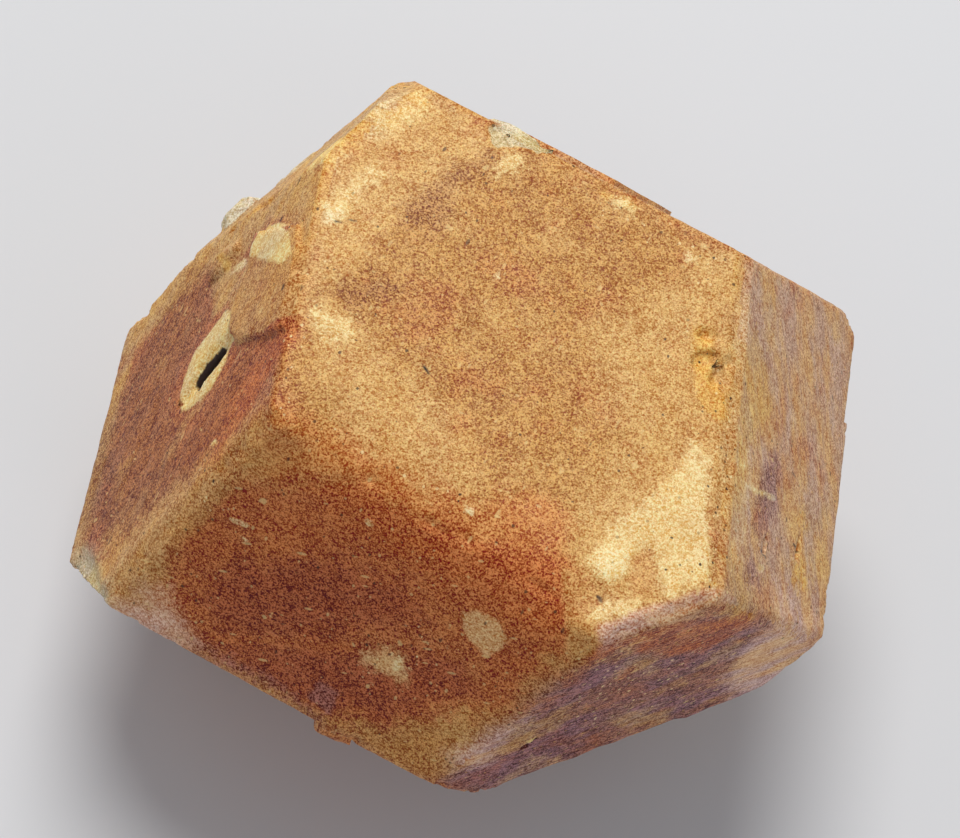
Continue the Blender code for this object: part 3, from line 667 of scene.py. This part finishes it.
coordinates = add_node("ShaderNodeTexCoord").outputs["Object"]
millimetres = places("SCALE", coordinates, 1.0 / MM)
lay_of_fibres = add_node("ShaderNodeAttribute", attribute_name="lay").outputs["Vector"]


def drawn_out(where, length):
    """Places drawn out along their first axis by this much."""
    return places("MULTIPLY", where, (1.0 / length, 1.0, 1.0))


def shifted(x, y, z):
    return places("ADD", millimetres, (x, y, z))


# The stone's own unevenness, from clouds 5 mm across down to sand of an eighth of
# a millimetre. The scale is how many lumps there are to a millimetre.
banks = grains(millimetres, scale=0.20, detail=3.0)
mottle = grains(shifted(31.0, 7.0, 2.0), scale=0.5, detail=4.0, roughness=0.75)
red_mottle = grains(shifted(3.0, 41.0, 12.0), scale=0.30, detail=4.0, roughness=0.75)
wander = maths("SUBTRACT", grains(millimetres, scale=1.2, detail=3.0, roughness=0.8), 0.5)
grain = grains(millimetres, scale=3.0, detail=1.0, roughness=0.9)
sand = grains(shifted(11.0, 3.0, 5.0), scale=8.5, detail=0.0)
sand_cells = add_node("ShaderNodeTexVoronoi", {"Vector": millimetres, "Scale": 6.5})
sand_chance = add_node("ShaderNodeSeparateColor", {0: sand_cells.outputs["Color"]}).outputs[0]
fibres = grains(drawn_out(lay_of_fibres, 6.0), scale=4.0, detail=1.0, roughness=0.9)
wide_fibres = grains(drawn_out(lay_of_fibres, 2.5), scale=0.35, detail=3.0)


def zone_mask(name, raggedness=3.0, share=1.0):
    """A zone's share of the surface, its border broken up by the grain."""
    moved = maths("ADD", times(wander, raggedness), stored(name))
    return ramp(moved, -0.8, 0.8, 0.0, share)


def turned(angles):
    inputs = {"Vector": millimetres, "Rotation": angles}
    return add_node("ShaderNodeVectorRotate", inputs, rotation_type="EULER_XYZ").outputs[0]


def scatter(vector, scale, size):
    """Separate grains in cells, each with a chance from 0 to 1 of its own."""
    cells = add_node("ShaderNodeTexVoronoi", {"Vector": vector, "Scale": scale, "Randomness": 1.0})
    chance = add_node("ShaderNodeSeparateColor", {0: cells.outputs["Color"]})
    width = ramp(chance.outputs[1], 0.0, 1.0, 0.3 * size, size)
    body = ramp(maths("DIVIDE", cells.outputs["Distance"], width), 1.0, 0.6)
    return body, chance.outputs[0]


def ragged(amount, scale):
    """Places pushed about by noise, so that grains get an uneven outline."""
    inputs = {"Vector": millimetres, "Scale": scale, "Detail": 1.0}
    push = add_node("ShaderNodeTexNoise", inputs).outputs["Color"]
    return places("ADD", millimetres, places("SCALE", push, amount))


def below(scattered, share):
    return times(scattered[0], maths("LESS_THAN", scattered[1], share))


def above(scattered, share):
    return times(scattered[0], maths("GREATER_THAN", scattered[1], share))


TAN = from_photo(192, 138, 72)
PALE = from_photo(214, 166, 98)
CREAM = from_photo(236, 202, 136)
CHALK = from_photo(244, 218, 160)
AMBER = from_photo(202, 128, 66)
RED_BROWN = from_photo(182, 94, 42)
DEEP_RED = from_photo(152, 68, 34)
# Mauve: partly the garnet's own tint, partly a painted bluish reflection.
MAUVE_AND_PAINTED_REFLECTION = from_photo(144, 92, 86)
ROSE = from_photo(210, 164, 124)
BROWN = from_photo(150, 90, 46)
GLASSY = from_photo(224, 206, 164)
CHIPPED = from_photo(208, 189, 146)
LILAC = from_photo(222, 176, 148)
PLATE_TAN = from_photo(203, 148, 84)
OLIVE = from_photo(246, 216, 148)
CALCITE = from_photo(230, 184, 124)
OCHRE = from_photo(224, 170, 84)
SPECK = from_photo(62, 34, 22)
# Painted shade for the slit and the pits.
PAINTED_HOLLOW_SHADE = from_photo(48, 30, 22)
COOL_FIBRE = (0.90, 0.96, 1.25, 1.0)
WARM_FIBRE = (1.10, 1.05, 0.72, 1.0)

redness, mauve_and_reflection, rosiness, fibrousness, staining = [stored(trait) for trait in TRAITS]
colour = mix(redness, TAN, RED_BROWN)
# The mauve mixed in here is partly a painted bluish reflection.
colour = mix(mauve_and_reflection, colour, MAUVE_AND_PAINTED_REFLECTION)
colour = mix(rosiness, colour, ROSE)
colour = mix(ramp(banks, 0.52, 0.66, 0.0, 0.45), colour, PALE)
colour = mix(ramp(banks, 0.48, 0.34, 0.0, 0.35), colour, RED_BROWN)

# Each zone lies over those before it. After its name come how ragged its border
# is, how strongly it colours the stone, and its colour.
ZONE_COLOURS = (
    ("amber", 2.5, 0.8, AMBER),
    ("red", 2.5, 0.8, RED_BROWN),
    ("deep", 2.5, 0.7, DEEP_RED),
    ("calcite", 3.0, 0.75, CALCITE),
    ("mauve", 2.5, 0.6, MAUVE_AND_PAINTED_REFLECTION),
    ("pale", 3.0, 0.75, PALE),
    ("brown", 3.0, 0.6, BROWN),
    ("tan", 1.5, 0.85, PLATE_TAN),
    ("cream", 5.0, 0.95, CREAM),
    ("lilac", 1.5, 0.9, LILAC),
    ("olive", 2.5, 0.85, OLIVE),
    ("ochre", 5.0, 0.8, OCHRE),
    ("chalk", 3.0, 0.75, CHALK),
    ("glassy", 0.5, 0.9, GLASSY),
    ("chipped", 1.0, 0.9, CHIPPED),
)
zone_shares = {}
for zone, raggedness, strength, tint in ZONE_COLOURS:
    zone_shares[zone] = zone_mask(zone, raggedness, strength)
    colour = mix(zone_shares[zone], colour, tint)

colour = mix(ramp(red_mottle, 0.55, 0.72, 0.0, 0.35), colour, RED_BROWN)
colour = mix(times(ramp(fibres, 0.64, 0.78, 0.0, 0.7), staining), colour, OCHRE)
cool_and_warm = mix(ramp(wide_fibres, 0.38, 0.62), COOL_FIBRE, WARM_FIBRE)
colour = mix(fibrousness, colour, cool_and_warm, "MULTIPLY")

# The fine grain lightens and darkens the stone, most of all where it is dark, and
# a little of it is added as plain grey: a painted glint of the waxy skin on the grains.
USUAL_LIGHTNESS = 1.13
DARK_CONTRAST = 1.6
PAINTED_GLINT_GREY = 0.025

lightness = times(maths("SUBTRACT", fibres, 0.5), times(fibrousness, 0.9))
for unevenness, weight in ((sand, 0.9), (sand_chance, 0.42), (grain, 0.35), (mottle, 0.6)):
    lightness = maths("ADD", lightness, times(unevenness, weight))
brightness = add_node("ShaderNodeRGBToBW", {0: colour}).outputs[0]
contrast = ramp(brightness, 0.40, 0.10, 1.0, DARK_CONTRAST)
lightness = times(maths("SUBTRACT", lightness, USUAL_LIGHTNESS), contrast)
grain_light = ramp(lightness, -0.5, 0.5, 0.02, 0.98)
colour = mix(1.0, colour, grain_light, "SOFT_LIGHT")
# Painted glints: plain grey added and taken away with the grain, for the waxy sparkle.
colour = mix(PAINTED_GLINT_GREY, colour, grain_light, "LINEAR_LIGHT")

# Flecks and needles of calcite, iron stains and dark specks lie in the garnet, and
# the grainy, cream and ochre zones have more of them.
NEEDLE_LENGTH = 4.0

patches = scatter(ragged(0.6, 1.7), 0.6, 0.20)
fine_grains = scatter(ragged(0.15, 5.0), 2.2, 0.34)
needles = scatter(drawn_out(turned((0.5, 0.3, 0.4)), NEEDLE_LENGTH), 1.8, 0.24)
cross_needles = scatter(drawn_out(turned((-0.4, 0.2, 1.9)), NEEDLE_LENGTH), 1.6, 0.24)
grainy_share = zone_mask("grainy", 4.0)
colour = mix(times(below(patches, 0.12), 0.6), colour, CREAM)
colour = mix(times(below(fine_grains, 0.10), 0.5), colour, CREAM)
colour = mix(times(above(fine_grains, 0.60), staining), colour, OCHRE)
colour = mix(times(above(fine_grains, 0.95), 0.8), colour, SPECK)
colour = mix(times(below(needles, 0.30), 0.55), colour, CREAM)
colour = mix(times(below(cross_needles, 0.22), 0.55), colour, CREAM)
colour = mix(times(above(cross_needles, 0.93), 0.7), colour, SPECK)
colour = mix(times(times(below(fine_grains, 0.45), grainy_share), 0.8), colour, CHALK)
dark_holes = maths("MAXIMUM", zone_shares["ochre"], times(grainy_share, 0.7))
dark_holes = maths("MAXIMUM", times(zone_shares["cream"], 0.4), dark_holes)
colour = mix(times(above(fine_grains, 0.75), dark_holes), colour, SPECK)
# Painted shade in the slit and the pits.
colour = mix(zone_mask("dark", 1.0), colour, PAINTED_HOLLOW_SHADE)

GRAIN_HEIGHT = 0.08

height = maths("ADD", grain, times(fibres, fibrousness))
bump_inputs = {"Height": height, "Strength": 0.6, "Distance": GRAIN_HEIGHT * MM}
bump = add_node("ShaderNodeBump", bump_inputs)
tree.links.new(colour, shader.inputs["Base Color"])
tree.links.new(ramp(grain, 0.3, 0.7, 0.48, 0.62), shader.inputs["Roughness"])
tree.links.new(bump.outputs[0], shader.inputs["Normal"])
shader.inputs["Subsurface Weight"].default_value = 0.2
shader.inputs["Subsurface Radius"].default_value = (1.0, 0.45, 0.25)
shader.inputs["Subsurface Scale"].default_value = 1.2 * MM
shader.inputs["IOR"].default_value = 1.6
shader.inputs["Specular IOR Level"].default_value = 0.2
mesh.materials.clear()
mesh.materials.append(material)

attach(crystal, "root")
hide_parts("grossular_crystal")


# Where it lies
# A plain, pale, matt studio floor.
bpy.ops.object.select_all(action="DESELECT")
bpy.ops.mesh.primitive_plane_add(size=4.0)
floor = bpy.context.object
floor.name = "floor"
paper = bpy.data.materials.new("pale_paper")
paper.use_nodes = True
paper_shader = paper.node_tree.nodes["Principled BSDF"]
paper_shader.inputs["Base Color"].default_value = (0.70, 0.71, 0.73, 1.0)
paper_shader.inputs["Roughness"].default_value = 0.9
floor.data.materials.append(paper)


# Studio light
# A wide soft light above and behind, and a weak one from the front and right.
centre = Vector(MIDDLE) * MM


def soft_light(name, direction, distance, size, power, tint):
    light = bpy.data.lights.new(name, "AREA")
    light.shape = "DISK"
    light.size = size
    light.energy = power
    light.color = tint
    thing = bpy.data.objects.new(name, light)
    thing.location = centre + Vector(direction).normalized() * distance
    thing.rotation_euler = Vector(direction).to_track_quat("Z", "Y").to_euler()
    bpy.context.scene.collection.objects.link(thing)


soft_light("key", (-0.15, 0.55, 1.0), 0.6, 0.35, 2.9, (1.0, 0.98, 0.95))
soft_light("fill", (0.7, -0.8, 0.5), 0.7, 0.5, 0.5, (0.95, 0.95, 1.0))
world = bpy.context.scene.world or bpy.data.worlds.new("studio")
bpy.context.scene.world = world
world.use_nodes = True
sky = world.node_tree.nodes["Background"]
sky.inputs["Color"].default_value = (0.92, 0.95, 1.0, 1.0)
sky.inputs["Strength"].default_value = 0.35
bpy.context.scene.view_settings.view_transform = "Standard"


# The camera
# It looks down at 63 degrees, rolled by 13 degrees, from 232 mm.
CAMERA_DISTANCE = 232.2
CAMERA_DIRECTION = Vector((0.0, -0.4475, 0.8942))
CAMERA_TILT = math.radians(26.59)
CAMERA_ROLL = math.radians(12.87)

camera_data = bpy.data.cameras.new("camera")
camera_data.lens = 112.5
camera_data.sensor_width = 36.0
camera_data.clip_start = 0.01
camera = bpy.data.objects.new("camera", camera_data)
turned_down = Matrix.Rotation(CAMERA_TILT, 4, "X") @ Matrix.Rotation(CAMERA_ROLL, 4, "Z")
standing_at = Matrix.Translation(centre + CAMERA_DIRECTION * CAMERA_DISTANCE * MM)
camera.matrix_world = standing_at @ turned_down
bpy.context.scene.collection.objects.link(camera)
bpy.context.scene.camera = camera
